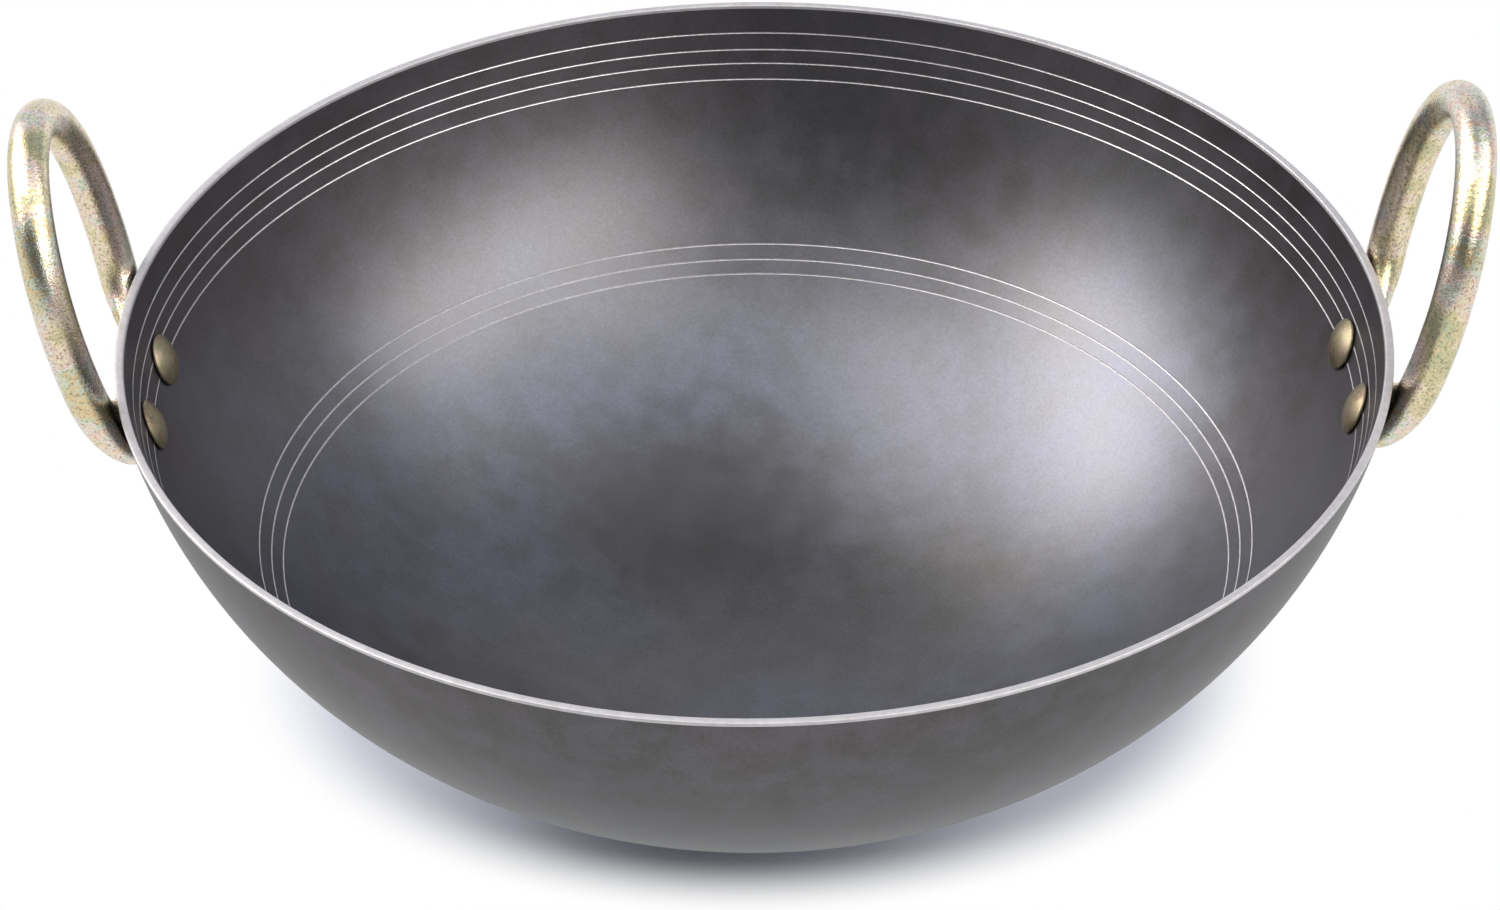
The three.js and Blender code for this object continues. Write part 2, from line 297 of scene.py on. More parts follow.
# %% The oval of the handle
LOOP_STEPS = 132
LUG_STEPS = 10
LUG_BLUNTNESS = 0.3
LOOP_HALF_WIDTH, LOOP_HALF_HEIGHT = 31.6 * MM, 38.2 * MM
FOOT_SQUARENESS = 2.4
LOOP_TILT = math.radians(78)
LOOP_FOOT_DROP = 16.5 * MM
LUG_RADIUS = 8.2 * MM

rivet_side = RIVET_SPACING / 2
rivet_rise = (LOOP_FOOT_DROP - RIVET_DROP) / math.sin(LOOP_TILT)
rivet_depth = (1 - (rivet_side / LOOP_HALF_WIDTH) ** FOOT_SQUARENESS) ** (1 / FOOT_SQUARENESS)
loop_middle = rivet_rise + LOOP_HALF_HEIGHT * rivet_depth


def signed_power(value, power):
    return math.copysign(abs(value) ** power, value)


def loop_point(turn):
    """Middle of the rod at an angle from the crown; the lower half is a little squarer."""
    squareness = FOOT_SQUARENESS if math.cos(turn) < 0 else 2
    rise = LOOP_HALF_HEIGHT * signed_power(math.cos(turn), 2 / squareness)
    side = LOOP_HALF_WIDTH * signed_power(math.sin(turn), 2 / squareness)
    return Vector((loop_middle + rise, side, 0))


def lower_turn(side):
    """Angle at which the lower half of the oval is this far from its middle line."""
    return math.pi - math.asin((side / LOOP_HALF_WIDTH) ** (FOOT_SQUARENESS / 2))


lug_bends = [math.pi / 2 * i / (LUG_STEPS + LUG_BLUNTNESS) for i in range(1, LUG_STEPS + 1)]
lug_reaches = [LUG_RADIUS * math.sin(bend) for bend in lug_bends]
lug_turns = [lower_turn(rivet_side - reach) for reach in lug_reaches]
loop_turns = [lower_turn(rivet_side) * (2 * i / LOOP_STEPS - 1) for i in range(LOOP_STEPS + 1)]
loop_turns = [-turn for turn in reversed(lug_turns)] + loop_turns + lug_turns
loop_places = [loop_point(turn) for turn in loop_turns]
headings = []
for step in range(len(loop_places)):
    ahead = loop_places[min(step + 1, len(loop_places) - 1)]
    way = ahead - loop_places[max(step - 1, 0)]
    headings.append(math.atan2(way.y, way.x))
print("oval:", len(loop_places), "places; middle in mm", round(loop_middle / MM, 1))

# %% [markdown]
# A torus would be the quick way to make the loop, but stretching it into an oval would thicken
# the rod at the crown. So a circle, the rod's section, is extruded from place to place and turned
# to face along the oval at each, as a rod goes through a bending jig.

# %% Bend the rod
ROD_RADIUS = 4.72 * MM
ROD_SIDES = 32


def turn_selected(angle, axis, centre):
    """With no window open, the rotate operator turns the other way: hence the minus."""
    bpy.ops.transform.rotate(value=-angle, orient_axis=axis, center_override=centre)


deselect_all()
bpy.ops.mesh.primitive_circle_add(
    vertices=ROD_SIDES,
    radius=ROD_RADIUS,
    location=loop_places[0],
    rotation=(math.pi / 2, 0, headings[0] - math.pi / 2),
)
handle = bpy.context.object
handle.name = handle.data.name = "right_loop"
bpy.ops.object.transform_apply()
bpy.ops.object.mode_set(mode="EDIT")
bpy.ops.mesh.select_all(action="SELECT")
for step in range(1, len(loop_places)):
    move = loop_places[step] - loop_places[step - 1]
    bend = (headings[step] - headings[step - 1] + math.pi) % math.tau - math.pi
    bpy.ops.mesh.extrude_region_move(TRANSFORM_OT_translate={"value": move})
    turn_selected(bend, "Z", loop_places[step])
bpy.ops.mesh.select_all(action="SELECT")
bpy.ops.mesh.fill_holes(sides=0)
bpy.ops.mesh.select_all(action="SELECT")
bpy.ops.mesh.normals_make_consistent(inside=False)
bpy.ops.mesh.select_all(action="DESELECT")
bpy.ops.object.mode_set(mode="OBJECT")
print("loop:", len(handle.data.polygons), "faces, size in mm", in_mm(handle.dimensions))

# %% [markdown]
# The two ends of the loop were forged into flat, rounded lugs that lie on the bowl and take the
# rivets. A lug has to tip from the slope of the loop to that of the wall, and to move until it
# lies on the wall. Both follow from the frame that will carry the loop to its place.

# %% Where the lugs lie
along = Vector((math.cos(LOOP_TILT), 0, math.sin(LOOP_TILT)))
outward = Vector((math.sin(LOOP_TILT), 0, -math.cos(LOOP_TILT)))
foot = Vector((RIM_RADIUS, 0, BOWL_HEIGHT - LOOP_FOOT_DROP))
loop_frame = Matrix.Translation(foot) @ Matrix((along, (0, -1, 0), outward)).transposed().to_4x4()
tip = math.atan2(-wall_normal.y, wall_normal.x) - (math.pi / 2 - LOOP_TILT)


def gap_to_wall(place, offset):
    """How far along world X a point is from the wall set off by offset."""
    point = loop_frame @ place
    radius = wall_at(wall_angle(point.z, offset), offset)[0].x
    return math.sqrt(radius**2 - point.y**2) - point.x


print("lugs tip by", round(math.degrees(tip), 1), "degrees")

# %% [markdown]
# Each circle of the rod near an end is first widened: X and Y together are its width, because a
# circle across the rod has no length along it. It is then pressed: what stands out past the
# thickness is scaled to nothing, as between two dies. Last it is tipped to the slope of the wall
# and moved until it lies on it. Past the rivet the width follows a circle, which rounds the end.

# %% Forge the lugs
def smooth_step(value, low, high):
    share = min(max((value - low) / (high - low), 0), 1)
    return share * share * (3 - 2 * share)


def on_circle(step, shape, lowest=-math.inf, highest=math.inf):
    """Calls shape in edit mode with one circle selected, or its part between two heights."""
    for vertex in handle.data.vertices:
        on_step = vertex.index // ROD_SIDES == step
        vertex.select = on_step and lowest < vertex.co.z < highest
    bpy.ops.object.mode_set(mode="EDIT")
    shape()
    bpy.ops.mesh.select_all(action="DESELECT")
    bpy.ops.object.mode_set(mode="OBJECT")


def forge(step, place, flat):
    thick = ROD_RADIUS + (LUG_THICKNESS / 2 - ROD_RADIUS) * flat
    past = max(rivet_side - abs(place.y), 0) / LUG_RADIUS
    width = (ROD_RADIUS + (LUG_RADIUS - ROD_RADIUS) * flat) * math.sqrt(1 - past**2) / ROD_RADIUS
    shift = flat * gap_to_wall(place, FIT_GAP + thick)

    def spread():
        bpy.ops.transform.resize(value=(width, width, 1), center_override=place)

    def press(side):
        die = place + Vector((0, 0, side * thick))
        bpy.ops.transform.resize(value=(1, 1, 0), center_override=die)

    def seat():
        turn_selected(-tip * flat, "Y", place)
        bpy.ops.transform.translate(value=(shift * along.x, 0, shift * outward.x))

    on_circle(step, spread)
    on_circle(step, lambda: press(1), lowest=thick)
    on_circle(step, lambda: press(-1), highest=-thick)
    on_circle(step, seat)


forged = 0
for step, place in enumerate(loop_places):
    flat = smooth_step((loop_middle - place.x) / LOOP_HALF_HEIGHT, rivet_depth / 2, rivet_depth)
    if flat > 0:
        forge(step, place, flat)
        forged += 1
print("lugs:", forged, "of", len(loop_places), "circles forged")

# %% [markdown]
# The next steps are done by hand in Blender again and again, so each gets a helper: select one
# piece and nothing else, move a piece and apply the move, duplicate a piece, and take one shape
# out of another with a Boolean.

# %% Place, copy and cut
def select_only(piece):
    deselect_all()
    piece.select_set(True)
    bpy.context.view_layer.objects.active = piece


def apply_place(piece, matrix):
    """Puts a piece in place and moves its place into its mesh."""
    select_only(piece)
    piece.matrix_world = matrix
    bpy.ops.object.transform_apply()


def copy_piece(piece, name):
    select_only(piece)
    bpy.ops.object.duplicate()
    copy = bpy.context.object
    copy.name = copy.data.name = name
    return copy


def cut(piece, cutter):
    select_only(piece)
    boolean = piece.modifiers.new("cut", "BOOLEAN")
    boolean.operation = "DIFFERENCE"
    boolean.solver = "EXACT"
    boolean.object = cutter
    bpy.ops.object.modifier_apply(modifier=boolean.name)


# %% [markdown]
# The handle now goes to its place. Its back has to follow the curve of the bowl, so the space
# that the bowl fills is made on the lathe, a hair larger, and taken out of the handle with a
# Boolean. Rods a little thicker than the rivets' shanks drill the handle and the bowl in the
# same way.

# %% Fit the handle and drill the holes
HOLE_CLEARANCE = 0.3 * MM
DRILL_LENGTH = 40 * MM
drill_radius = SHANK_RADIUS + HOLE_CLEARANCE
rivet_turn = math.asin(rivet_side / wall_point.x)
RIVET_TURNS = {
    "right_back": rivet_turn,
    "right_front": -rivet_turn,
    "left_front": math.pi + rivet_turn,
    "left_back": math.pi - rivet_turn,
}


def rivet_frame(turn):
    """Carries a piece that stands on Z to the wall, with Z along the wall's outward normal."""
    lean = math.atan2(wall_normal.x, wall_normal.y)
    place = Matrix.Translation((wall_point.x, 0, wall_point.y))
    return Matrix.Rotation(turn, 4, "Z") @ place @ Matrix.Rotation(lean, 4, "Y")


apply_place(handle, loop_frame)
room_section = [Vector((0, -FIT_GAP))] + wall_run(BOWL_HEIGHT, 0, FIT_GAP, WALL_STEPS)[::-1]
bowl_room = lathe("bowl_room", room_section + [Vector((0, BOWL_HEIGHT))], BOWL_STEPS)
cut(handle, bowl_room)
for name, turn in RIVET_TURNS.items():
    deselect_all()
    bpy.ops.mesh.primitive_cylinder_add(
        vertices=RIVET_SIDES, radius=drill_radius, depth=DRILL_LENGTH
    )
    drill = bpy.context.object
    apply_place(drill, rivet_frame(turn))
    cut(bowl, drill)
    if name.startswith("right"):
        cut(handle, drill)
    bpy.data.objects.remove(drill)
bpy.data.objects.remove(bowl_room)
print("handle:", len(handle.data.polygons), "faces; bowl:", len(bowl.data.polygons), "faces")

# %% [markdown]
# The left handle is the right one, turned half round, with a mesh of its own. The rivet is copied
# to its four places in the same way, and the one that they were copied from is deleted.

# %% The left handle and the rivets
left_handle = copy_piece(handle, "left_loop")
apply_place(left_handle, Matrix.Rotation(math.pi, 4, "Z"))
rivets = {}
for name, turn in RIVET_TURNS.items():
    rivets[name] = copy_piece(rivet, f"rivet_{name}")
    apply_place(rivets[name], rivet_frame(turn))
bpy.data.objects.remove(rivet)
print("copies:", left_handle.name, sorted(piece.name for piece in rivets.values()))

# %% [markdown]
# Each piece now stands in for its solid and rides on the one body of the part. Smooth shading by
# angle keeps the rim and the edges of the holes crisp while the round faces look round. The bowl
# takes a smaller angle than the rest, because the sides of its scratches are shallow.

# %% Stand in for the solids
SMOOTH_ANGLE = math.radians(30)
BOWL_ANGLE = math.radians(12)
pieces = {"bowl": bowl, "right_handle": handle, "left_handle": left_handle}
pieces.update({f"{name}_rivet": piece for name, piece in rivets.items()})
for node, piece in pieces.items():
    select_only(piece)
    bpy.ops.object.shade_smooth_by_angle(angle=BOWL_ANGLE if piece is bowl else SMOOTH_ANGLE)
    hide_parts(node)
    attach(piece, "root")

# %% [markdown]
# The finishes are built from nodes. The kinds that come up again and again get a helper each:
# noise, a map range with soft ends, a sum or a product, and a colour ramp. What a helper returns
# is the node's output, ready to be linked to the next one.

# %% Helpers for nodes
def add_noise(tree, vector, scale, detail, roughness=0.55):
    noise = tree.nodes.new("ShaderNodeTexNoise")
    noise.inputs["Detail"].default_value = detail
    noise.inputs["Roughness"].default_value = roughness
    tree.links.new(vector, noise.inputs["Vector"])
    if isinstance(scale, (int, float)):
        noise.inputs["Scale"].default_value = scale
    else:
        tree.links.new(scale, noise.inputs["Scale"])
    return noise.outputs["Fac"]


def add_range(tree, value, low, high, to_low=0.0, to_high=1.0):
    mapped = tree.nodes.new("ShaderNodeMapRange")
    mapped.interpolation_type = "SMOOTHSTEP"
    ends = {"From Min": low, "From Max": high, "To Min": to_low, "To Max": to_high}
    for socket, number in ends.items():
        mapped.inputs[socket].default_value = number
    tree.links.new(value, mapped.inputs["Value"])
    return mapped.outputs["Result"]


def add_math(tree, operation, first, second):
    node = tree.nodes.new("ShaderNodeMath")
    node.operation = operation
    for socket, value in zip(node.inputs, (first, second)):
        if isinstance(value, (int, float)):
            socket.default_value = value
        else:
            tree.links.new(value, socket)
    return node.outputs["Value"]


def add_ramp(tree, value, stops):
    """A colour ramp with a list of stops, each a position and a colour."""
    node = tree.nodes.new("ShaderNodeValToRGB")
    elements = node.color_ramp.elements
    while len(elements) < len(stops):
        elements.new(1)
    for element, (position, colour) in zip(elements, stops):
        element.position = position
        element.color = (*colour, 1)
    tree.links.new(value, node.inputs["Fac"])
    return node.outputs["Color"]


# %% [markdown]
# Two effects are shared by the finishes, so each is a node group. The clouds are soft patches,
# large ones and small ones, such as heat leaves on iron and dipping leaves on zinc. The grain is
# the fine roughness of the metal itself: a height for the Bump node, and a mask of the small
# pits in it. Both read Object coordinates, which are metres here, so a scale of 100 means
# patches of about 10 mm.

# %% Shared effects
def new_group(name, inputs, outputs):
    group = bpy.data.node_groups.new(name, "ShaderNodeTree")
    group.interface.new_socket("Vector", in_out="INPUT", socket_type="NodeSocketVector")
    for socket in inputs:
        group.interface.new_socket(socket, in_out="INPUT", socket_type="NodeSocketFloat")
    for socket in outputs:
        group.interface.new_socket(socket, in_out="OUTPUT", socket_type="NodeSocketFloat")
    return group, group.nodes.new("NodeGroupInput"), group.nodes.new("NodeGroupOutput")


clouds, clouds_in, clouds_out = new_group("clouds", ["Scale"], ["Large", "Small"])
large = add_noise(clouds, clouds_in.outputs["Vector"], clouds_in.outputs["Scale"], 3)
clouds.links.new(add_range(clouds, large, 0.32, 0.68), clouds_out.inputs["Large"])
small_scale = add_math(clouds, "MULTIPLY", clouds_in.outputs["Scale"], 7)
small = add_noise(clouds, clouds_in.outputs["Vector"], small_scale, 5, 0.65)
clouds.links.new(add_range(clouds, small, 0.3, 0.7), clouds_out.inputs["Small"])

grain, grain_in, grain_out = new_group("grain", ["Scale"], ["Height", "Pits"])
fine = add_noise(grain, grain_in.outputs["Vector"], grain_in.outputs["Scale"], 4, 0.7)
grain.links.new(fine, grain_out.inputs["Height"])
grain.links.new(add_range(grain, fine, 0.36, 0.5, 1, 0), grain_out.inputs["Pits"])
print("groups:", clouds.name, grain.name)

# %% [markdown]
# Every finish here is bare or plated metal, so each material is a Principled shader at full
# Metallic. A small helper sets one up with Object coordinates and the two shared effects, and
# leaves it to each finish to say what they do to its colour, roughness and surface.

# %% Helpers for the finishes
class Finish:
    """A metal with its shader, its coordinates and its own clouds and grain."""

    def __init__(self, name, roughness, cloud_scale, grain_scale):
        self.material = bpy.data.materials.new(name)
        self.material.use_nodes = True
        self.tree = self.material.node_tree
        self.shader = self.tree.nodes["Principled BSDF"]
        self.shader.inputs["Metallic"].default_value = 1
        self.shader.inputs["Roughness"].default_value = roughness
        self.coordinates = self.tree.nodes.new("ShaderNodeTexCoord").outputs["Object"]
        self.clouds = self.place_group(clouds, cloud_scale)
        self.grain = self.place_group(grain, grain_scale)

    def place_group(self, group, scale):
        node = self.tree.nodes.new("ShaderNodeGroup")
        node.node_tree = group
        node.inputs["Scale"].default_value = scale
        self.tree.links.new(self.coordinates, node.inputs["Vector"])
        return node.outputs

    def ramp(self, value, stops):
        return add_ramp(self.tree, value, stops)

    def mix(self, share, first, second, blend="MIX"):
        node = self.tree.nodes.new("ShaderNodeMix")
        node.data_type = "RGBA"
        node.blend_type = blend
        for index, value in ((0, share), (6, first), (7, second)):
            socket = node.inputs[index]
            if isinstance(value, bpy.types.NodeSocket):
                self.tree.links.new(value, socket)
            elif isinstance(value, (int, float)):
                socket.default_value = value
            else:
                socket.default_value = (*value, 1)
        return node.outputs[2]

    def colour(self, socket):
        self.tree.links.new(socket, self.shader.inputs["Base Color"])

    def roughness(self, socket):
        self.tree.links.new(socket, self.shader.inputs["Roughness"])

    def bump(self, height, strength, distance):
        node = self.tree.nodes.new("ShaderNodeBump")
        node.inputs["Strength"].default_value = strength
        node.inputs["Distance"].default_value = distance
        self.tree.links.new(height, node.inputs["Height"])
        self.tree.links.new(node.outputs["Normal"], self.shader.inputs["Normal"])


# %% [markdown]
# The iron is dark, with a soft sheen. Heat has left it faintly blue low down, where it was
# hottest, and faintly brown towards the rim, with clouds in both. The tint follows the height,
# disturbed by the large clouds, through a colour ramp. The small clouds and the grain only make
# it a little lighter or darker. A darker patch lies on the floor, behind the middle: an oval
# distance from its place, made ragged by the clouds. The outside is the same iron with painted
# shade: its colour is darker all over, and darkest towards the bottom.

# %% Blackened iron
IRON_TINTS = [
    (0.0, (0.164, 0.163, 0.168)),
    (0.12, (0.163, 0.167, 0.184)),
    (0.32, (0.161, 0.170, 0.201)),
    (0.55, (0.159, 0.163, 0.181)),
    (0.85, (0.152, 0.147, 0.159)),
    (1.0, (0.145, 0.137, 0.149)),
]
DARK_PATCH_PLACE = Vector((-18 * MM, 57 * MM, 8 * MM))
DARK_PATCH_SQUEEZE = 0.65
DARK_PATCH_COLOUR = (0.101, 0.096, 0.097)
DARK_PATCH_CORE, DARK_PATCH_REACH, DARK_PATCH_RAGGED = 10 * MM, 42 * MM, 3 * MM
DARK_PATCH_STRENGTH = 0.65
TINT_DRIFT = 0.14
ROUGHNESS_SPREAD = 0.015
SPECKLE_DARK, SPECKLE_LIGHT = [0.86] * 3, [1.12] * 3


def add_oval(tree, coordinates, centre, squeeze):
    """Distance from a centre, squeezed along X: places equally far off lie on an oval."""
    mapping = tree.nodes.new("ShaderNodeMapping")
    mapping.inputs["Location"].default_value = (-centre.x * squeeze, -centre.y, -centre.z)
    mapping.inputs["Scale"].default_value = (squeeze, 1, 1)
    tree.links.new(coordinates, mapping.inputs["Vector"])
    length = tree.nodes.new("ShaderNodeVectorMath")
    length.operation = "LENGTH"
    tree.links.new(mapping.outputs["Vector"], length.inputs[0])
    return length.outputs["Value"]


def make_iron(name, low_shade, high_shade, roughness, mottling):
    """Returns the finish and its colour, which can still be mixed with something else."""
    finish = Finish(name, roughness, cloud_scale=14, grain_scale=1400)
    split = finish.tree.nodes.new("ShaderNodeSeparateXYZ")
    finish.tree.links.new(finish.coordinates, split.inputs["Vector"])
    height_share = add_math(finish.tree, "DIVIDE", split.outputs["Z"], BOWL_HEIGHT)
    drift = add_range(finish.tree, finish.clouds["Large"], 0, 1, -TINT_DRIFT, TINT_DRIFT)
    tints = []
    # Shades below 1 are painted shade: low_shade darkens the bottom, and high_shade darkens the
    # rim.
    for place, tint in IRON_TINTS:
        shade = low_shade + (high_shade - low_shade) * place
        tints.append((place, [shade * part for part in tint]))
    tint = finish.ramp(add_math(finish.tree, "ADD", height_share, drift), tints)
    warm = (1 - mottling, 1 - mottling, 1 - 1.5 * mottling)
    cool = (1 + mottling / 2, 1 + mottling / 2, 1 + 0.7 * mottling)
    mottle = finish.ramp(finish.clouds["Small"], [(0, warm), (1, cool)])
    speckle = finish.ramp(finish.grain["Height"], [(0.3, SPECKLE_DARK), (0.7, SPECKLE_LIGHT)])
    low_rough, high_rough = roughness - ROUGHNESS_SPREAD, roughness + ROUGHNESS_SPREAD
    finish.roughness(add_range(finish.tree, finish.clouds["Small"], 0, 1, low_rough, high_rough))
    finish.bump(finish.grain["Height"], strength=0.12, distance=0.06 * MM)
    mottled = finish.mix(1.0, tint, mottle, "MULTIPLY")
    return finish, finish.mix(1.0, mottled, speckle, "MULTIPLY")


iron, iron_colour = make_iron(
    "blackened_iron", low_shade=1.0, high_shade=1.0, roughness=0.4, mottling=0.09
)
# A darker patch on the floor of the bowl, behind the middle, with a ragged edge.
to_dark_patch = add_oval(iron.tree, iron.coordinates, DARK_PATCH_PLACE, DARK_PATCH_SQUEEZE)
ragged = add_range(iron.tree, iron.clouds["Small"], 0, 1, -DARK_PATCH_RAGGED, DARK_PATCH_RAGGED)
to_dark_patch = add_math(iron.tree, "ADD", to_dark_patch, ragged)
dark_patch = add_range(iron.tree, to_dark_patch, DARK_PATCH_CORE, DARK_PATCH_REACH, DARK_PATCH_STRENGTH, 0)
iron.colour(iron.mix(dark_patch, iron_colour, DARK_PATCH_COLOUR))
# Painted shade: the outside is the same iron, with its colour darkened all over and most of all
# towards the bottom.
painted_shade_outer_iron, painted_shade_outer_colour = make_iron(
    "painted_shade_outer_iron", low_shade=0.36, high_shade=0.8, roughness=0.45, mottling=0.2
)
painted_shade_outer_iron.colour(painted_shade_outer_colour)
print("iron finishes:", iron.material.name, painted_shade_outer_iron.material.name)

# %% [markdown]
# Where the grinder and the scriber cut through the dark skin, the iron is bright. The rim has a
# softer shine than the scratches. Both are given to faces of the bowl: the faces are selected by
# their place, and the material is assigned to them.

# %% Bright iron on the rim and in the rings
rim_finish = Finish("ground_rim", roughness=0.6, cloud_scale=60, grain_scale=1500)
rim_finish.colour(rim_finish.ramp(
    rim_finish.clouds["Small"], [(0, (0.54, 0.535, 0.55)), (1, (0.62, 0.615, 0.63))]
))
scribe_finish = Finish("scribed_line", roughness=0.45, cloud_scale=120, grain_scale=1500)
scribe_finish.colour(scribe_finish.ramp(
    scribe_finish.clouds["Small"], [(0, (0.50, 0.49, 0.51)), (1, (0.70, 0.69, 0.71))]
))
BRIGHT_EDGE = 0.8 * MM
UPWARD_SLOPE = 0.2
ring_heights = [ring[1].y for ring in rings]


def on_rim(face):
    return face.center.z > BOWL_HEIGHT - BRIGHT_EDGE


def on_outside(face):
    faces_outwards = face.normal.x * face.center.x + face.normal.y * face.center.y > 0
    return face.normal.z < UPWARD_SLOPE and (faces_outwards or face.center.z < WALL / 2)


def in_ring(face):
    at_ring = any(abs(face.center.z - height) < RING_WIDTH / 3 for height in ring_heights)
    return at_ring and not on_outside(face)


def give_material(piece, material, chosen=None):
    """Assigns a material to the whole piece, or to the faces that a test chooses."""
    select_only(piece)
    bpy.ops.object.material_slot_add()
    piece.material_slots[piece.active_material_index].material = material
    bpy.ops.object.mode_set(mode="EDIT")
    bpy.ops.mesh.select_mode(type="FACE")
    bpy.ops.mesh.select_all(action="DESELECT")
    bpy.ops.object.mode_set(mode="OBJECT")
    for face in piece.data.polygons:
        face.select = chosen is None or chosen(face)
    bpy.ops.object.mode_set(mode="EDIT")
    bpy.ops.object.material_slot_assign()
    bpy.ops.object.mode_set(mode="OBJECT")
    print(piece.name, material.name, sum(face.select for face in piece.data.polygons), "faces")


give_material(bowl, iron.material)
give_material(bowl, painted_shade_outer_iron.material, on_outside)
give_material(bowl, rim_finish.material, on_rim)
give_material(bowl, scribe_finish.material, in_ring)

# %% [markdown]
# The handles are plated with yellow zinc. Its thin film shows straw and gold, with patches of
# pink, green and silver. Those colours belong to the film, so a ramp paints them, over a sum of
# the large clouds and a finer noise that breaks them up. The rod under the film is coarse: its
# fine pits are brown and dull.

# %% Yellow zinc
ZINC_FILM = [
    (0.0, (0.54, 0.56, 0.36)),
    (0.2, (0.74, 0.62, 0.36)),
    (0.4, (0.84, 0.77, 0.59)),
    (0.52, (0.81, 0.58, 0.45)),
    (0.64, (0.83, 0.75, 0.69)),
    (0.8, (0.60, 0.69, 0.53)),
    (1.0, (0.75, 0.57, 0.32)),
]
PIT_COLOUR = (0.12, 0.085, 0.05)
PIT_SHARE = 0.6
PATCH_SHARE = 0.96
FLECK_SCALE = 1100
zinc = Finish("yellow_zinc", roughness=0.3, cloud_scale=60, grain_scale=1500)
fleck_noise = add_noise(zinc.tree, zinc.coordinates, FLECK_SCALE, 4, 0.7)
flecks = add_range(zinc.tree, fleck_noise, 0.3, 0.7, -0.14, 0.2)
patches = add_math(zinc.tree, "MULTIPLY", zinc.clouds["Large"], PATCH_SHARE)
film = zinc.ramp(add_math(zinc.tree, "ADD", patches, flecks), ZINC_FILM)
pits = add_math(zinc.tree, "MULTIPLY", zinc.grain["Pits"], PIT_SHARE)
zinc.colour(zinc.mix(pits, film, PIT_COLOUR))
zinc.roughness(add_range(zinc.tree, zinc.grain["Pits"], 0, 1, 0.2, 0.36))
zinc.bump(zinc.grain["Height"], strength=0.5, distance=0.22 * MM)
give_material(handle, zinc.material)
give_material(left_handle, zinc.material)

# %% [markdown]
# The rivets were plated too, but theirs is worn to a dull bronze with streaks down the dome. The
# streaks are noise on coordinates that are squeezed in height.

# %% Rivet zinc
WORN_COLOUR, WORN_SHARE = (0.42, 0.35, 0.27), 0.5
RIVET_PIT_COLOUR, RIVET_PIT_SHARE = (0.12, 0.09, 0.06), 0.4
STREAK_SCALE, STREAK_SQUEEZE = 1300, 0.2
dull = Finish("rivet_zinc", roughness=0.46, cloud_scale=180, grain_scale=2200)
squeeze = dull.tree.nodes.new("ShaderNodeVectorMath")
squeeze.operation = "MULTIPLY"
squeeze.inputs[1].default_value = (1, 1, STREAK_SQUEEZE)
dull.tree.links.new(dull.coordinates, squeeze.inputs[0])
streak_noise = add_noise(dull.tree, squeeze.outputs["Vector"], STREAK_SCALE, 3)
streaks = add_range(dull.tree, streak_noise, 0.35, 0.65, 0, WORN_SHARE)
bronze = dull.ramp(dull.clouds["Large"], [
    (0.0, (0.20, 0.15, 0.10)),
    (0.35, (0.32, 0.26, 0.16)),
    (0.65, (0.27, 0.28, 0.16)),
    (1.0, (0.37, 0.29, 0.22)),
])
worn = dull.mix(streaks, bronze, WORN_COLOUR)
rivet_pits = add_math(dull.tree, "MULTIPLY", dull.grain["Pits"], RIVET_PIT_SHARE)
dull.colour(dull.mix(rivet_pits, worn, RIVET_PIT_COLOUR))
dull.bump(dull.grain["Height"], strength=0.25, distance=0.1 * MM)
for piece in rivets.values():
    give_material(piece, dull.material)

# %% [markdown]
# The kadai stands on a white floor. Close to it, the floor takes light and shadow as any surface
# does. Further out a share of it is plain white, growing with the distance, so that only the
# shadow under the bowl is left, as in a catalogue picture. The distance is an oval one again,
# because the shadow is wider than it is deep. The Light Path node keeps that white to what the
# camera and mirroring metal see, so it puts no light of its own on the kadai.

# %% Floor
FLOOR_SIZE = 8
FLOOR_DROP = 0.2 * MM
FLOOR_COLOUR = (0.76, 0.83, 0.955, 1)
SHADOW_NEAR, SHADOW_FAR = 79 * MM, 100 * MM
SHADOW_PLACE = Vector((0, 9 * MM, 0))
SHADOW_SQUEEZE = 0.77
LEAST_WHITE = 0.02
bpy.ops.mesh.primitive_plane_add(size=FLOOR_SIZE, location=(0, 0, -FLOOR_DROP))
floor = bpy.context.object
floor.name = "floor"
floor_material = bpy.data.materials.new("white_floor")
floor_material.use_nodes = True
floor_tree = floor_material.node_tree
floor_shader = floor_tree.nodes["Principled BSDF"]
floor_shader.inputs["Base Color"].default_value = FLOOR_COLOUR
floor_shader.inputs["Roughness"].default_value = 0.9
floor_shader.inputs["Specular IOR Level"].default_value = 0
white = floor_tree.nodes.new("ShaderNodeEmission")
floor_place = floor_tree.nodes.new("ShaderNodeTexCoord").outputs["Object"]
away = add_oval(floor_tree, floor_place, SHADOW_PLACE, SHADOW_SQUEEZE)
share = add_range(floor_tree, away, SHADOW_NEAR, SHADOW_FAR, LEAST_WHITE, 1)
path = floor_tree.nodes.new("ShaderNodeLightPath").outputs
seen = add_math(floor_tree, "MAXIMUM", path["Is Camera Ray"], path["Is Glossy Ray"])
seen = add_math(floor_tree, "MAXIMUM", seen, path["Is Transmission Ray"])
blend = floor_tree.nodes.new("ShaderNodeMixShader")
floor_tree.links.new(add_math(floor_tree, "MULTIPLY", share, seen), blend.inputs["Fac"])
floor_tree.links.new(floor_shader.outputs["BSDF"], blend.inputs[1])
floor_tree.links.new(white.outputs["Emission"], blend.inputs[2])
floor_surface = floor_tree.nodes["Material Output"].inputs["Surface"]
floor_tree.links.new(blend.outputs["Shader"], floor_surface)
floor.data.materials.append(floor_material)
print("floor:", floor_material.name)

# %% [markdown]
# Metal shows whatever is around it, so the studio matters as much as the finish. The world is a
# dim, slightly blue room, pale at the horizon, darker in front and lighter behind.

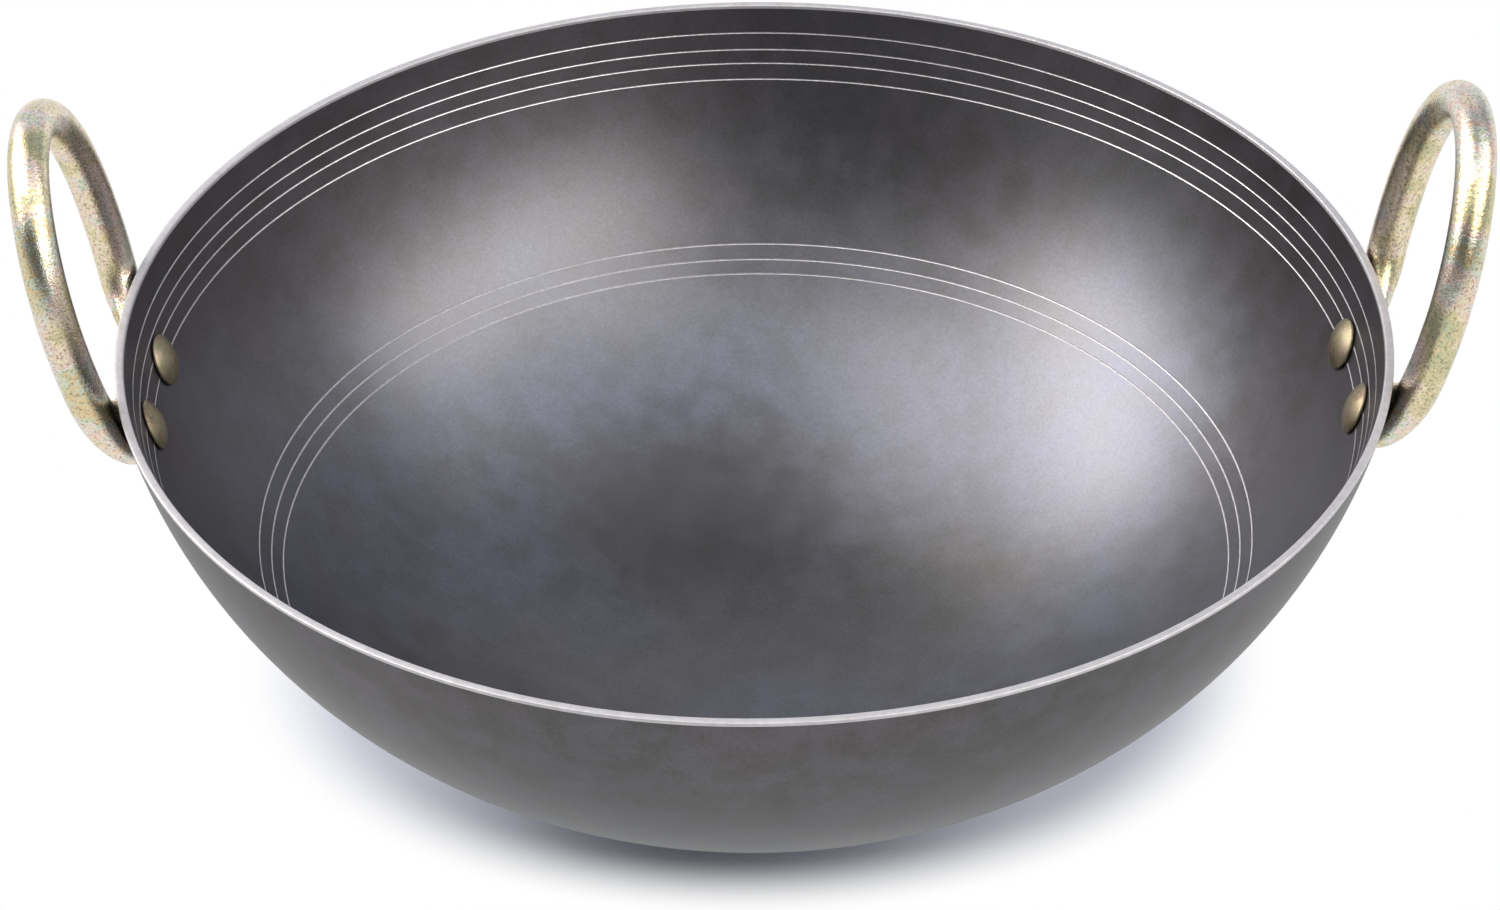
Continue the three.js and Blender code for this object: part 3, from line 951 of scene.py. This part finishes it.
# %% World
SKY = [(0.0, 0.9), (0.53, 0.9), (0.6, 0.4), (0.7, 0.25), (0.9, 0.3), (1.0, 0.4)]
SKY_TINT = Vector((0.94, 0.97, 1.06))
SKY_FRONT, SKY_BACK = 0.4, 1.4
world = bpy.data.worlds.new("studio")
bpy.context.scene.world = world
world.use_nodes = True
sky_tree = world.node_tree
sky_split = sky_tree.nodes.new("ShaderNodeSeparateXYZ")
sky_direction = sky_tree.nodes.new("ShaderNodeTexCoord").outputs["Generated"]
sky_tree.links.new(sky_direction, sky_split.inputs["Vector"])
sky_height = add_math(sky_tree, "MULTIPLY_ADD", sky_split.outputs["Z"], 0.5)
sky_height.node.inputs[2].default_value = 0.5
sky_stops = [(position, level * SKY_TINT) for position, level in SKY]
sky_colour = add_ramp(sky_tree, sky_height, sky_stops)
sky_strength = add_range(sky_tree, sky_split.outputs["Y"], -1, 1, SKY_FRONT, SKY_BACK)
background = sky_tree.nodes["Background"]
sky_tree.links.new(sky_colour, background.inputs["Color"])
sky_tree.links.new(sky_strength, background.inputs["Strength"])
print("world:", world.name)

# %% [markdown]
# Two large softboxes, a little warm, give the long highlights: one on the left, and one at the
# front right. Dimmer warm scrims higher up fade those highlights out, and cool ones at the side,
# at the back and overhead fill in the rest.

# %% Lamps
WARM, COOL = (1, 0.93, 0.885), (0.89, 0.92, 1)
LAMP_DISTANCE = 1.6
# Each row: name, azimuth and elevation in degrees, sides in metres, watts, colour.
LAMPS = [
    ("left_softbox", -104, 38, (1.5, 0.65), 23, WARM),
    ("left_scrim", -90, 66, (1.1, 0.6), 7, WARM),
    ("right_softbox", 62, 40, (1.9, 0.5), 17, WARM),
    ("right_scrim", 38, 58, (0.6, 0.4), 2.7, WARM),
    ("side_scrim", 102, 60, (0.6, 0.8), 2.0, COOL),
    ("back_scrim", 180, 36, (1.6, 0.5), 2.2, COOL),
    ("front_scrim", -40, 64, (0.8, 0.6), 1.6, WARM),
    ("top_scrim", 10, 74, (0.9, 0.6), 1.8, COOL),
]


def add_softbox(name, azimuth, elevation, size, watts, colour):
    """Azimuth 0 is on the camera's side, and 90 is on the right."""
    turn, lift = math.radians(azimuth), math.radians(elevation)
    level = math.cos(lift)
    way = Vector((math.sin(turn) * level, -math.cos(turn) * level, math.sin(lift)))
    bpy.ops.object.light_add(type="AREA", location=way * LAMP_DISTANCE)
    lamp = bpy.context.object
    lamp.name = name
    lamp.data.shape = "RECTANGLE"
    lamp.data.size, lamp.data.size_y = size
    lamp.data.energy = watts
    lamp.data.color = colour
    lamp.rotation_euler = way.to_track_quat("Z", "Y").to_euler()
    print(name, [round(number, 2) for number in lamp.location], watts, "W")


for lamp_row in LAMPS:
    add_softbox(*lamp_row)

# %% [markdown]
# The camera looks down into the bowl from the front, with a long lens. Its place was worked out
# from the ellipses of the rim and the rings in the photograph.

# %% Camera
CAMERA_BACK, CAMERA_SIDE, CAMERA_ABOVE_RIM = 879.0 * MM, -1.2 * MM, 594.4 * MM
CAMERA_PITCH = 0.6243
CAMERA_ROLL = -0.0095
CAMERA_ORBIT = math.radians(-0.4)
FOCAL_PIXELS, PHOTO_WIDTH = 4500, 1500
bpy.ops.object.camera_add()
camera = bpy.context.object
camera.data.sensor_fit = "HORIZONTAL"
camera.data.sensor_width = 36
camera.data.lens = camera.data.sensor_width * FOCAL_PIXELS / PHOTO_WIDTH
place = Matrix.Translation((CAMERA_SIDE, -CAMERA_BACK, BOWL_HEIGHT + CAMERA_ABOVE_RIM))
pitch = Matrix.Rotation(math.pi / 2 - CAMERA_PITCH, 4, "X")
roll = Matrix.Rotation(CAMERA_ROLL, 4, "Z")
camera.matrix_world = Matrix.Rotation(CAMERA_ORBIT, 4, "Z") @ place @ pitch @ roll
bpy.context.scene.camera = camera
bpy.context.scene.view_settings.view_transform = "Standard"
print("lens in mm:", camera.data.lens)
